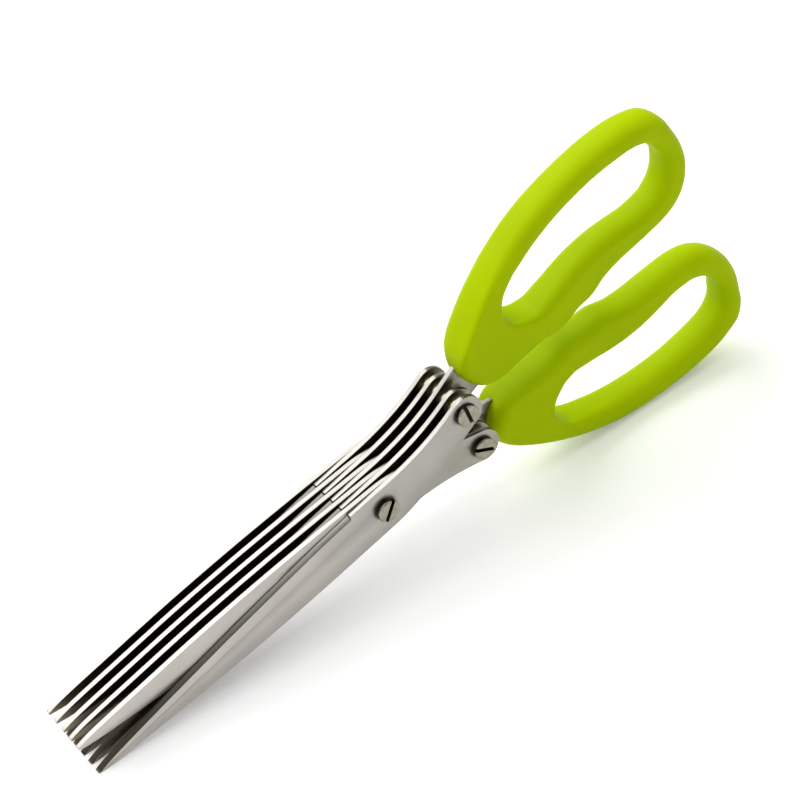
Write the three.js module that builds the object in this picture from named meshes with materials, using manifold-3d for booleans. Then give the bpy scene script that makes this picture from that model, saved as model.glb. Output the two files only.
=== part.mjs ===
// Five-blade herb scissors, in millimetres. X runs from the tips to the finger loops,
// Y along the pivot screw with the screw heads on the -Y side, and Z up.
// The two halves are the same stampings, one turned over about X. Each blade and loop is drawn
// in the closed position with the pivot at the origin, then opened to rest and stood on edge.
import * as THREE from 'three';
import { mergeVertices } from 'three/addons/utils/BufferGeometryUtils.js';
import Module from 'manifold-3d';

const wasm = await Module();
wasm.setup();

// The stack of blade pairs
const pairCount = 5;
const pairPitch = 3.55;
const bladeThickness = 1.3;
const bladeGap = 0.1; // between the two blades of a pair
const runningGap = 0.06; // between the pivot's parts and the half that turns on it

// How the scissors stand
const restAngle = THREE.MathUtils.degToRad(2.5); // each half, from closed to the pose at rest

// Blade, from the pivot to the tip
const bladeReach = 85.3;
const spineDepth = 5.8;
const edgeHeight = 5.55;
const tipWidth = 0.55;
const edgeGrind = 0.7; // how far the ground face runs down from the cutting edge
const notchDistance = 7.85;
const notchWidth = 0.25;
const ricassoHeight = 5.9;
const pivotRicasso = 5.7; // half width above the pivot

// Spine and cutting edge, as shares of the blade's reach and of its depth or height
const spineShares = [[0.94, 0.27], [0.765, 0.515], [0.59, 0.735], [0.41, 0.885], [0.24, 0.96]];
const edgeShares = [[0.938, 0.18], [0.762, 0.433], [0.526, 0.711], [0.291, 0.914], [0.173, 0.985]];

// Shank, from the pivot to the shank screw
const shankReach = 26.95;
const shankRise = 5.3;
const shankEndShift = 0.4; // the round end's centre lies this far past the screw
const shankEndRadius = 4.1;
const shankEndStart = THREE.MathUtils.degToRad(-72);
const shankEndTurn = THREE.MathUtils.degToRad(180);

// Control points of the shank's two edges, as shares of the way from the pivot to the round end
const shankUpperShares = [[0.46, -0.14], [0.75, 0.34]];
const shankLowerShares = [[0.33, 0], [0.68, 0.61]];

// Tang of the middle blade. Heights are measured from the level of the shank screw.
const neckLength = 5.25; // from the shank screw to the tang's neck
const neckLow = -3.6;
const neckHigh = 6.1;
const shoulderLength = 4; // of the tang's low edge, from its neck
const shoulderLow = -2.7;
const tangLength = 11.8;
const tangEndLow = 2.9;
const tangEndHigh = 8.9;
const tangHoleRadius = 1.5;
const tangHoleShares = [0.35, 0.78]; // of the way from the tang's neck to its end
const tangFit = 0.2;

// Finger loop: its length and width are those of the outline below
const neckBare = 0.8; // of the neck, in front of the loop
const handleLength = 70.9;
const handleWidth = 33.7;
const handleThickness = 10.6;
const loopThicknessShare = 0.89; // of the thickness at the front
const swellStartShare = 0.14; // of the handle's length, where the thickness begins to fall
const swellEndShare = 0.7;
const roundLengthShare = 0.0381; // rounding of the long edges across the outline, as a share of length
const roundWidthShare = 0.0802; // the same as a share of width; the smaller of the two counts
const roundThicknessShare = 0.368; // the same rounding through the thickness
const meetingGap = 0.3; // from each closed loop to the line where the two would meet

// Outline and finger hole, as shares of the handle's length and width
const handleShares = [
  [0, 0.353], [0.03, 0.468], [0.115, 0.618], [0.212, 0.746], [0.335, 0.87], [0.45, 0.944],
  [0.566, 0.985], [0.69, 1], [0.8, 0.987], [0.885, 0.948], [0.945, 0.88], [0.982, 0.777],
  [0.999, 0.62], [1, 0.44], [0.975, 0.28], [0.942, 0.195], [0.895, 0.14], [0.803, 0.103],
  [0.665, 0.083], [0.584, 0.066], [0.528, 0.03], [0.46, 0], [0.393, 0.008], [0.311, 0.008],
  [0.2, 0.012], [0.105, 0.024], [0.043, 0.067], [0.006, 0.175],
];
const holeShares = [
  [0.21, 0.417], [0.234, 0.56], [0.327, 0.684], [0.43, 0.75], [0.521, 0.785], [0.613, 0.803],
  [0.72, 0.803], [0.815, 0.775], [0.88, 0.724], [0.913, 0.655], [0.921, 0.56], [0.914, 0.447],
  [0.88, 0.347], [0.827, 0.288], [0.759, 0.276], [0.664, 0.308], [0.57, 0.322], [0.493, 0.31],
  [0.412, 0.28], [0.335, 0.258], [0.267, 0.283], [0.225, 0.342],
];

// Screws, nuts, spacers and washers
const screwRadius = 1.5;
const screwHoleGap = 0.15;
const headRadius = 2.77;
const headHeight = 1.45;
const headChamfer = 0.25;
const slotWidth = 0.8;
const slotDepth = 0.75;
const screwOut = 0.3; // of the screw's end past its nut
const nutWidth = 5.5; // across flats
const nutHeight = 1.2;
const nutChamfer = 0.25;
const nutChamferAngle = THREE.MathUtils.degToRad(30);
const spacerRadius = 2.9;
const washerRadius = 3.3;
const pivotSlotAngle = THREE.MathUtils.degToRad(-46.2);
const upperSlotAngle = THREE.MathUtils.degToRad(-85);
const lowerSlotAngle = THREE.MathUtils.degToRad(34.5);

// How finely round forms are cut
const spineSteps = 12;
const edgeSteps = 12;
const shankSteps = 9;
const endSteps = 12;
const roundSteps = 24;
const outlineSteps = 84;
const holeSteps = 52;
const roundingSteps = 3;
const standingSteps = 24; // tries at the standing angle, each starting from the last

const steel = new THREE.MeshStandardMaterial({ color: 0xb9b7b0, roughness: 0.32, metalness: 1 });
const nickel = new THREE.MeshStandardMaterial({ color: 0x9c9888, roughness: 0.3, metalness: 1 });
const brass = new THREE.MeshStandardMaterial({ color: 0xb79a5c, roughness: 0.35, metalness: 1 });
const limePlastic = new THREE.MeshStandardMaterial({ color: 0xa5c400, roughness: 0.45, metalness: 0 });

// A closed geometry as a solid, and back
function solidOf(geometry) {
  const open = geometry.clone();
  open.deleteAttribute('normal');
  open.deleteAttribute('uv');
  const merged = mergeVertices(open);
  return new wasm.Manifold(new wasm.Mesh({
    numProp: 3,
    vertProperties: new Float32Array(merged.attributes.position.array),
    triVerts: new Uint32Array(merged.index.array),
  }));
}

function geometryOf(solid) {
  const mesh = solid.getMesh();
  const geometry = new THREE.BufferGeometry();
  geometry.setAttribute('position', new THREE.BufferAttribute(mesh.vertProperties, mesh.numProp));
  geometry.setIndex(new THREE.BufferAttribute(mesh.triVerts, 1));
  geometry.computeVertexNormals();
  return geometry;
}

// A plate in the XZ plane. Its outline may differ between the near and the far face,
// so that the wall between them can slope; both have the same number of points.
function plate(nearOutline, farOutline, holes, nearY, farY) {
  const loops = [nearOutline, ...holes];
  const farLoops = [farOutline, ...holes];
  const flat = loops.flat();
  const far = farLoops.flat();
  const count = flat.length;
  const positions = [];
  flat.forEach((p) => positions.push(p.x, nearY, p.y));
  far.forEach((p) => positions.push(p.x, farY, p.y));
  const index = [];
  addCap(index, nearOutline, holes, flat, 0, false);
  addCap(index, farOutline, holes, far, count, true);
  let start = 0;
  for (const loop of loops) {
    loop.forEach((p, i) => {
      const a = start + i;
      const b = start + ((i + 1) % loop.length);
      index.push(a, a + count, b + count);
      index.push(a, b + count, b);
    });
    start += loop.length;
  }
  const geometry = new THREE.BufferGeometry();
  geometry.setAttribute('position', new THREE.Float32BufferAttribute(positions, 3));
  geometry.setIndex(index);
  geometry.computeVertexNormals();
  return geometry;
}

// Triangles of one face, all turned the same way
function addCap(index, outline, holes, points, offset, facesFar) {
  for (const [i, j, k] of THREE.ShapeUtils.triangulateShape(outline, holes)) {
    const turn = THREE.ShapeUtils.area([points[i], points[j], points[k]]);
    const counterClockwise = turn > 0;
    const corners = counterClockwise === facesFar ? [i, k, j] : [i, j, k];
    index.push(...corners.map((corner) => corner + offset));
  }
}

// A round hole's loop runs the other way round from an outline
function holeLoop(x, z, radius) {
  const points = [];
  for (let i = 0; i < roundSteps; i++) {
    const turn = (-2 * Math.PI * i) / roundSteps;
    points.push(new THREE.Vector2(x + radius * Math.cos(turn), z + radius * Math.sin(turn)));
  }
  return points;
}

function between(start, end, share) {
  return new THREE.Vector2(
    THREE.MathUtils.lerp(start.x, end.x, share[0]),
    THREE.MathUtils.lerp(start.y, end.y, share[1]),
  );
}

// Shank end: its centre and a point on its round edge
const shankEnd = new THREE.Vector2(shankReach + shankEndShift, shankRise);

// Tang, from its neck to its end, and where the handle starts on it
const tangNeck = shankReach + neckLength;
const tangReach = tangNeck + tangLength;
const neckMiddle = shankRise + (neckLow + neckHigh) / 2;
const tangEndMiddle = shankRise + (tangEndLow + tangEndHigh) / 2;
const tangEndRadius = (tangEndHigh - tangEndLow) / 2;
const handleStart = tangNeck + neckBare;

function onShankEnd(turn) {
  return new THREE.Vector2(
    shankEnd.x + shankEndRadius * Math.cos(turn),
    shankEnd.y + shankEndRadius * Math.sin(turn),
  );
}

function shankCurve(start, end, [first, second]) {
  return new THREE.CubicBezierCurve(start, between(start, end, first), between(start, end, second), end);
}

// Outline of a blade, anticlockwise from the tip along the spine. The grind lowers its cutting edge.
function bladeOutline(grind, hasTang) {
  const spine = [
    new THREE.Vector2(-bladeReach, -tipWidth),
    ...spineShares.map(([along, deep]) => new THREE.Vector2(-bladeReach * along, -spineDepth * deep)),
    new THREE.Vector2(0, -spineDepth),
  ];
  const tipGrind = Math.min(grind, tipWidth / 2);
  const edge = [
    new THREE.Vector2(-notchDistance, edgeHeight - grind),
    ...edgeShares.map(([along, high]) => new THREE.Vector2(-bladeReach * along, edgeHeight * high - grind))
      .reverse(),
    new THREE.Vector2(-bladeReach, -tipGrind),
  ];
  const lowStart = new THREE.Vector2(0, -spineDepth);
  const highStart = new THREE.Vector2(0, pivotRicasso);
  const low = onShankEnd(shankEndStart);
  const high = onShankEnd(shankEndStart + shankEndTurn);
  const lower = shankCurve(lowStart, low, shankLowerShares);
  const upper = shankCurve(highStart, high, shankUpperShares);
  return [
    ...new THREE.SplineCurve(spine).getPoints(spineSteps),
    ...lower.getPoints(shankSteps).slice(1),
    ...(hasTang ? tangPoints() : endPoints()),
    ...upper.getPoints(shankSteps).reverse(),
    new THREE.Vector2(notchWidth - notchDistance, ricassoHeight),
    ...new THREE.SplineCurve(edge).getPoints(edgeSteps),
  ];
}

function endPoints() {
  const points = [];
  for (let i = 1; i < endSteps; i++) {
    points.push(onShankEnd(shankEndStart + (shankEndTurn * i) / endSteps));
  }
  return points;
}

// The tang runs on from the shank into the handle
function tangPoints() {
  const points = [
    new THREE.Vector2(tangNeck, shankRise + neckLow),
    new THREE.Vector2(tangNeck + shoulderLength, shankRise + shoulderLow),
  ];
  for (let i = 0; i <= shankSteps; i++) {
    const turn = Math.PI * (i / shankSteps) - Math.PI / 2;
    const x = tangReach - tangEndRadius + tangEndRadius * Math.cos(turn);
    points.push(new THREE.Vector2(x, tangEndMiddle + tangEndRadius * Math.sin(turn)));
  }
  points.push(new THREE.Vector2(tangNeck, shankRise + neckHigh));
  return points;
}

function tangHoles(radius) {
  return tangHoleShares.map((share) => holeLoop(
    THREE.MathUtils.lerp(tangNeck, tangReach - tangEndRadius, share),
    THREE.MathUtils.lerp(neckMiddle, tangEndMiddle, share),
    radius,
  ));
}

// One blade, its flat inner face towards +Y, its ground face towards -Y
function bladeGeometry(hasTang) {
  const holes = [
    holeLoop(0, 0, screwRadius + screwHoleGap),
    holeLoop(shankReach, shankRise, screwRadius + screwHoleGap),
  ];
  if (hasTang) {
    holes.push(...tangHoles(tangHoleRadius));
  }
  const nearOutline = bladeOutline(edgeGrind, hasTang);
  const farOutline = bladeOutline(0, hasTang);
  const innerY = -bladeGap / 2;
  return plate(nearOutline, farOutline, holes, innerY - bladeThickness, innerY);
}

// A closed smooth line through points given as shares of the handle's length and width
function handleLine(shares, steps) {
  const points = shares.map(([along, across]) => new THREE.Vector3(
    handleStart + handleLength * along,
    meetingGap + handleWidth * across,
    0,
  ));
  const curve = new THREE.CatmullRomCurve3(points, true, 'centripetal');
  return curve.getSpacedPoints(steps).slice(1).map((p) => new THREE.Vector2(p.x, p.y));
}

// The handle is thickest at its front and thins towards the end of the loop
function thicknessShare(x) {
  const along = (x - handleStart) / handleLength;
  const fall = THREE.MathUtils.smoothstep(along, swellStartShare, swellEndShare);
  return THREE.MathUtils.lerp(1, loopThicknessShare, fall);
}

function handleGeometry() {
  const shape = new THREE.Shape(handleLine(handleShares, outlineSteps));
  shape.holes.push(new THREE.Path(handleLine(holeShares, holeSteps).reverse()));
  const roundIn = Math.min(handleLength * roundLengthShare, handleWidth * roundWidthShare);
  const roundDeep = handleThickness * roundThicknessShare;
  const depth = handleThickness - 2 * roundDeep;
  const body = new THREE.ExtrudeGeometry(shape, {
    depth,
    steps: 1,
    bevelEnabled: true,
    bevelThickness: roundDeep,
    bevelSize: roundIn,
    bevelOffset: -roundIn,
    bevelSegments: roundingSteps,
  });
  body.translate(0, 0, -depth / 2);
  body.rotateX(Math.PI / 2);
  const positions = body.attributes.position;
  for (let i = 0; i < positions.count; i++) {
    positions.setY(i, positions.getY(i) * thicknessShare(positions.getX(i)));
  }
  return geometryOf(solidOf(body).subtract(solidOf(tangPocket())));
}

// The room that the tang takes in the handle, with pillars of plastic through the tang's holes
function tangPocket() {
  const middle = new THREE.Vector2(tangNeck, neckMiddle);
  const neck = [onShankEnd(shankEndStart + shankEndTurn), onShankEnd(shankEndStart)];
  const outline = [...tangPoints(), ...neck].map((p) => {
    const out = p.clone().sub(middle);
    return p.clone().add(out.setLength(tangFit * Math.SQRT2));
  });
  const pillars = tangHoles(tangHoleRadius - tangFit);
  const innerY = -bladeGap / 2;
  return plate(outline, outline, pillars, innerY - bladeThickness - tangFit, innerY + tangFit);
}

// A turned piece, from a profile of radius and height along Y that closes on the axis or on itself
function turned(profile) {
  return new THREE.LatheGeometry(profile.map(([radius, y]) => new THREE.Vector2(radius, y)), roundSteps);
}

// Slotted screw with its head's bearing face at y = 0 and its shaft along +Y
function screwGeometry(length, slotAngle) {
  const blank = solidOf(turned([
    [0, -headHeight],
    [headRadius - headChamfer, -headHeight],
    [headRadius, headChamfer - headHeight],
    [headRadius, 0],
    [screwRadius, 0],
    [screwRadius, length],
    [0, length],
  ]));
  const slot = new THREE.BoxGeometry(2 * headRadius + slotWidth, 2 * slotDepth, slotWidth);
  slot.rotateY(slotAngle);
  slot.translate(0, -headHeight, 0);
  return geometryOf(blank.subtract(solidOf(slot)));
}

// Hexagon nut with chamfered corners, from y = 0 to its height
function nutGeometry() {
  const corner = nutWidth / Math.sqrt(3);
  const prism = new THREE.CylinderGeometry(corner, corner, nutHeight, 6);
  prism.translate(0, nutHeight / 2, 0);
  const rim = nutWidth / 2;
  const belt = rim + nutChamfer / Math.tan(nutChamferAngle);
  const chamfer = turned([
    [0, 0],
    [rim, 0],
    [belt, nutChamfer],
    [belt, nutHeight - nutChamfer],
    [rim, nutHeight],
    [0, nutHeight],
  ]);
  const boreRadius = screwRadius + screwHoleGap;
  const bore = new THREE.CylinderGeometry(boreRadius, boreRadius, nutHeight + screwOut, roundSteps);
  bore.translate(0, nutHeight / 2, 0);
  return geometryOf(solidOf(prism).intersect(solidOf(chamfer)).subtract(solidOf(bore)));
}

// A tube on a screw, from y = 0 to its length
function ringGeometry(radius, length) {
  const bore = screwRadius + screwHoleGap;
  return turned([[bore, 0], [radius, 0], [radius, length], [bore, length], [bore, 0]]);
}

function namedMesh(name, geometry, material, x, y, z) {
  const mesh = new THREE.Mesh(geometry, material);
  mesh.name = name;
  mesh.position.set(x, y, z);
  return mesh;
}

const middlePair = (pairCount + 1) / 2;

// Middle plane of a pair, counted from 1 on the far side
function pairY(pair) {
  return (middlePair - pair) * pairPitch;
}

const plainBlade = bladeGeometry(false);
const tangBlade = bladeGeometry(true);
const fingerLoop = handleGeometry();

// Blades and handle of one half, as they lie in the upper one. A half that is turned over next
// has its blades numbered the other way, so that 1 is the farthest in both.
function bladesAndHandle(half, turnedOver) {
  const group = new THREE.Group();
  for (let pair = 1; pair <= pairCount; pair++) {
    const number = turnedOver ? pairCount + 1 - pair : pair;
    const geometry = pair === middlePair ? tangBlade : plainBlade;
    group.add(namedMesh(`${half}_blade_${number}`, geometry, steel, 0, pairY(pair), 0));
  }
  group.add(namedMesh(`${half}_handle`, fingerLoop, limePlastic, 0, 0, 0));
  if (turnedOver) {
    group.rotation.x = Math.PI;
  }
  return group;
}

// A screw and its nut through blades that lie between two faces
function addFastener(group, name, place, headY, nutY, slotAngle) {
  const length = nutY - headY + nutHeight + screwOut;
  group.add(namedMesh(`${name}_screw`, screwGeometry(length, slotAngle), nickel, place.x, headY, place.y));
  group.add(namedMesh(`${name}_nut`, nutGeometry(), nickel, place.x, nutY, place.y));
}

// Spacers between the shanks of one half, from each blade's far face to the next blade
function addSpacers(group, half, place, firstFaceY) {
  const spacer = ringGeometry(spacerRadius, pairPitch - bladeThickness);
  for (let i = 1; i < pairCount; i++) {
    const y = firstFaceY - i * pairPitch;
    group.add(namedMesh(`${half}_spacer_${i}`, spacer, brass, place.x, y, place.y));
  }
}

// Washers on the pivot, each lying against the lower half's blade of its pair
function addWashers(group) {
  const washer = ringGeometry(washerRadius, pairPitch - 2 * bladeThickness - bladeGap - runningGap);
  for (let i = 1; i < pairCount; i++) {
    const y = pairY(i + 1) + bladeGap / 2 + bladeThickness;
    group.add(namedMesh(`pivot_washer_${i}`, washer, steel, 0, y, 0));
  }
}

// Faces that the screws and nuts bear on
const outerFace = bladeGap / 2 + bladeThickness;
const upperNearFace = pairY(pairCount) - outerFace;
const upperFarFace = pairY(1) - bladeGap / 2;
const lowerNearFace = pairY(pairCount) + bladeGap / 2;
const lowerFarFace = pairY(1) + outerFace;

// The half that ends in the upper handle; its blades lie below at the tips
function upperHalf() {
  const group = new THREE.Group();
  const place = new THREE.Vector2(shankReach, shankRise);
  group.add(bladesAndHandle('upper', false));
  addFastener(group, 'upper_shank', place, upperNearFace, upperFarFace, upperSlotAngle);
  addSpacers(group, 'upper', place, upperFarFace);
  group.rotation.y = -restAngle;
  return group;
}

// The half that ends in the lower handle: the same pieces turned over, with the pivot's own parts
function lowerHalf() {
  const group = new THREE.Group();
  const place = new THREE.Vector2(shankReach, -shankRise);
  group.add(bladesAndHandle('lower', true));
  addFastener(group, 'lower_shank', place, lowerNearFace, lowerFarFace, lowerSlotAngle);
  addSpacers(group, 'lower', place, lowerFarFace);
  const pivotPlace = new THREE.Vector2(0, 0);
  addFastener(group, 'pivot', pivotPlace, upperNearFace - runningGap, lowerFarFace, pivotSlotAngle);
  addWashers(group);
  group.rotation.y = restAngle;
  return group;
}

// Every corner of the standing object, seen along Y
function cornersOf(object) {
  const corners = [];
  const corner = new THREE.Vector3();
  object.updateMatrixWorld(true);
  object.traverse((mesh) => {
    if (!mesh.isMesh) {
      return;
    }
    const positions = mesh.geometry.attributes.position;
    for (let i = 0; i < positions.count; i++) {
      corner.fromBufferAttribute(positions, i).applyMatrix4(mesh.matrixWorld);
      corners.push(new THREE.Vector2(corner.x, corner.z));
    }
  });
  return corners;
}

// The angle at which the blade tips and the lower handle touch the ground together
function standingAngle(object) {
  const corners = cornersOf(object);
  const tips = corners.filter((p) => p.x < 0);
  const loops = corners.filter((p) => p.x > 0);
  let angle = 0;
  for (let step = 0; step < standingSteps; step++) {
    const height = (p) => p.x * Math.sin(angle) + p.y * Math.cos(angle);
    const lowest = (a, b) => (height(b) < height(a) ? b : a);
    const tip = tips.reduce(lowest);
    const loop = loops.reduce(lowest);
    angle = Math.atan2(tip.y - loop.y, loop.x - tip.x);
  }
  return angle;
}

const scissors = new THREE.Group();
scissors.add(upperHalf(), lowerHalf());
scissors.rotation.y = -standingAngle(scissors);

// The origin is on the ground, under the middle of the whole
const herbScissors = new THREE.Group();
herbScissors.add(scissors);
herbScissors.updateMatrixWorld(true);
const bounds = new THREE.Box3().setFromObject(herbScissors, true);
const centre = bounds.getCenter(new THREE.Vector3());
scissors.position.set(-centre.x, -centre.y, -bounds.min.z);

export default herbScissors;
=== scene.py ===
import math

import bmesh
import bpy
from mathutils import Matrix, Vector


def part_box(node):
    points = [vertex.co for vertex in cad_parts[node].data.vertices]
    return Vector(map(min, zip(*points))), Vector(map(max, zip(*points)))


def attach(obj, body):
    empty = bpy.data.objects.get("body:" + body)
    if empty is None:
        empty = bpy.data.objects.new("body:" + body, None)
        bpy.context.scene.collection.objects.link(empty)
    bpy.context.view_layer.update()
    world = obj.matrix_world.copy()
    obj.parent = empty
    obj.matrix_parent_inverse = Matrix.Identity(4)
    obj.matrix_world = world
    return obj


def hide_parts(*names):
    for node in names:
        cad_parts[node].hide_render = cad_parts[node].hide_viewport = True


# Five-blade herb scissors on a white table. X runs from the tips to the finger loops,
# Y along the pivot screw with the screw heads on the -Y side, Z up. All lengths in metres.

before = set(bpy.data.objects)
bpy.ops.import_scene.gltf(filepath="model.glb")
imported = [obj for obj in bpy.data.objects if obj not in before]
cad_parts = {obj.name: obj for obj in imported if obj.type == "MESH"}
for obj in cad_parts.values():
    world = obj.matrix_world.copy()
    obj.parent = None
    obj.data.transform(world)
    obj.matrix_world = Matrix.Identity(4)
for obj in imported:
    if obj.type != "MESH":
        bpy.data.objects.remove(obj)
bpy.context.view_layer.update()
mm = 0.001

# Lengths that the pieces share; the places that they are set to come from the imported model
layout = {
    "pairs": 5,
    "pairPitch": 3.55 * mm,
    "bladeThickness": 1.3 * mm,
    "bladeGap": 0.1 * mm,
    "shankReach": 26.95 * mm,
    "shankRise": 5.3 * mm,
    "holeRadius": 1.65 * mm,
}


def middleOf(node):
    low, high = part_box(node)
    return (low + high) / 2


pivotPlace = middleOf("pivot_screw")
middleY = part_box("upper_blade_3")[1].y + layout["bladeGap"] / 2
shankAngle = math.atan2(layout["shankRise"], layout["shankReach"])


# How far a half is turned up from the closed position, from its shank screw
def turnOf(node, closedAngle):
    away = middleOf(node) - pivotPlace
    return math.atan2(away.z, away.x) - closedAngle


upperTurn = turnOf("upper_shank_screw", shankAngle)
lowerTurn = turnOf("lower_shank_screw", -shankAngle)
atPivot = Matrix.Translation((pivotPlace.x, middleY, pivotPlace.z))
upperPlace = atPivot @ Matrix.Rotation(-upperTurn, 4, "Y")
lowerPlace = atPivot @ Matrix.Rotation(-lowerTurn, 4, "Y") @ Matrix.Rotation(math.pi, 4, "X")
halfPlaces = {"upper": upperPlace, "lower": lowerPlace}
halfTurns = {"upper": upperTurn, "lower": lowerTurn}
print("layout: halves turned", round(math.degrees(upperTurn), 2),
      round(math.degrees(lowerTurn), 2))


# Distance of a pair's middle plane from the middle one; pair 1 is the farthest
def pairOffset(pair):
    return ((layout["pairs"] + 1) / 2 - pair) * layout["pairPitch"]


# Hand tools
squareOn = 0.9  # a face counts as square to an axis where its normal has more than this along it
sideOn = 0.1  # and as running along the axis where its normal has less than this
roundSides = 96


def nothingPicked():
    if bpy.context.object and bpy.context.object.mode != "OBJECT":
        bpy.ops.object.mode_set(mode="OBJECT")
    bpy.ops.object.select_all(action="DESELECT")


def takeUp(piece):
    nothingPicked()
    piece.select_set(True)
    bpy.context.view_layer.objects.active = piece


def startPiece(name):
    piece = bpy.context.object
    piece.name = name
    piece.data.name = name
    bpy.ops.object.transform_apply(location=True, rotation=True, scale=True)
    return piece


def addFinishes(piece, finishes):
    for material in finishes:
        piece.data.materials.append(material)


def pickFaces(piece, test):
    bpy.ops.object.mode_set(mode="EDIT")
    bpy.ops.mesh.select_mode(type="FACE")
    bpy.ops.mesh.select_all(action="DESELECT")
    shape = bmesh.from_edit_mesh(piece.data)
    for face in shape.faces:
        face.select_set(test(face.calc_center_median(), face.normal))
    bmesh.update_edit_mesh(piece.data)


def backToObject():
    bpy.ops.object.mode_set(mode="OBJECT")


def cutWith(piece, cutter, operation="DIFFERENCE"):
    takeUp(piece)
    cut = piece.modifiers.new("cut", "BOOLEAN")
    cut.operation = operation
    cut.solver = "EXACT"
    cut.object = cutter
    bpy.ops.object.modifier_apply(modifier=cut.name)
    bpy.data.objects.remove(cutter, do_unlink=True)


def softenEdges(piece, width, segments, angle):
    takeUp(piece)
    soften = piece.modifiers.new("soften", "BEVEL")
    soften.width = width
    soften.segments = segments
    soften.limit_method = "ANGLE"
    soften.angle_limit = math.radians(angle)
    bpy.ops.object.modifier_apply(modifier=soften.name)


def smoothShade(piece, angle):
    takeUp(piece)
    bpy.ops.object.shade_smooth_by_angle(angle=math.radians(angle))


def copyPiece(model, name, place):
    piece = model.copy()
    piece.data = model.data.copy()
    piece.name = name
    piece.data.name = name
    bpy.context.scene.collection.objects.link(piece)
    piece.data.transform(place)
    return piece


# Gives the faces that pass the test the piece's finish of that number
def dressFaces(piece, finish, test):
    for face in piece.data.polygons:
        if test(face.center, face.normal):
            face.material_index = finish


def finishPiece(piece, node, body, finishes):
    for i, material in enumerate(finishes):
        piece.data.materials[i] = material
    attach(piece, body)
    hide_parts(node)


# A cylinder along Y between two depths
def addRound(name, radius, nearY, farY, x=0.0, z=0.0, vertices=roundSides):
    nothingPicked()
    bpy.ops.mesh.primitive_cylinder_add(
        vertices=vertices, radius=radius, depth=farY - nearY,
        location=(x, (nearY + farY) / 2, z), rotation=(math.pi / 2, 0, 0))
    return startPiece(name)


# Lines: a place between b and c on the smooth curve through a, b, c and d
def curveAt(a, b, c, d, t):
    return 0.5 * ((2 * b) + (c - a) * t + (2 * a - 5 * b + 4 * c - d) * t * t
                  + (3 * b - a - 3 * c + d) * t * t * t)


# A smooth open line through points, with evenly shared steps
def smoothLine(points, steps):
    line = []
    last = len(points) - 1
    for i in range(steps + 1):
        along = last * i / steps
        k = min(int(along), last - 1)
        before = points[max(k - 1, 0)]
        after = points[min(k + 2, last)]
        line.append(curveAt(before, points[k], points[k + 1], after, along - k))
    return line


# A line from a to d that b and c pull towards them
def bezierLine(a, b, c, d, steps):
    line = []
    for i in range(steps + 1):
        t = i / steps
        s = 1 - t
        line.append(a * s ** 3 + b * 3 * s * s * t + c * 3 * s * t * t + d * t ** 3)
    return line


def between(a, b, share):
    return Vector((a.x + (b.x - a.x) * share[0], a.y + (b.y - a.y) * share[1]))


# Materials
cloudSpread = (0.3, 0.7)  # noise stays between these for the most part


def newMaterial(name, metallic=0):
    material = bpy.data.materials.new(name)
    material.use_nodes = True
    nodes = material.node_tree.nodes
    nodes.clear()
    out = nodes.new("ShaderNodeOutputMaterial")
    skin = nodes.new("ShaderNodeBsdfPrincipled")
    skin.inputs["Metallic"].default_value = metallic
    material.node_tree.links.new(skin.outputs["BSDF"], out.inputs["Surface"])
    return material, skin


def objectSpace(material, place=(0, 0, 0), turn=(0, 0, 0), scale=(1, 1, 1)):
    nodes = material.node_tree.nodes
    links = material.node_tree.links
    source = nodes.new("ShaderNodeTexCoord")
    mapping = nodes.new("ShaderNodeMapping")
    mapping.vector_type = "TEXTURE"
    mapping.inputs["Location"].default_value = place
    mapping.inputs["Rotation"].default_value = turn
    mapping.inputs["Scale"].default_value = scale
    links.new(source.outputs["Object"], mapping.inputs["Vector"])
    return mapping.outputs["Vector"]


def noiseOn(material, vector, scale, detail):
    noise = material.node_tree.nodes.new("ShaderNodeTexNoise")
    noise.inputs["Scale"].default_value = scale
    noise.inputs["Detail"].default_value = detail
    material.node_tree.links.new(vector, noise.inputs["Vector"])
    return noise.outputs["Fac"]


def rangeOf(material, value, low, high, fromLow=cloudSpread[0], fromHigh=cloudSpread[1]):
    spread = material.node_tree.nodes.new("ShaderNodeMapRange")
    spread.inputs["From Min"].default_value = fromLow
    spread.inputs["From Max"].default_value = fromHigh
    spread.inputs["To Min"].default_value = low
    spread.inputs["To Max"].default_value = high
    material.node_tree.links.new(value, spread.inputs["Value"])
    return spread.outputs["Result"]


# The owner is a material or the world
def rampOf(owner, value, stops):
    ramp = owner.node_tree.nodes.new("ShaderNodeValToRGB")
    for i, (position, colour) in enumerate(stops):
        stop = ramp.color_ramp.elements[i] if i < 2 else ramp.color_ramp.elements.new(position)
        stop.position = position
        stop.color = (*colour, 1)
    owner.node_tree.links.new(value, ramp.inputs["Fac"])
    return ramp.outputs["Color"]


def shadesOf(material, cloud, dark, light):
    low, high = cloudSpread
    return rampOf(material, cloud, [(low, dark), (high, light)])


def bumpOn(material, skin, height, distance, strength):
    bump = material.node_tree.nodes.new("ShaderNodeBump")
    bump.inputs["Distance"].default_value = distance
    bump.inputs["Strength"].default_value = strength
    material.node_tree.links.new(height, bump.inputs["Height"])
    material.node_tree.links.new(bump.outputs["Normal"], skin.inputs["Normal"])


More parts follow.
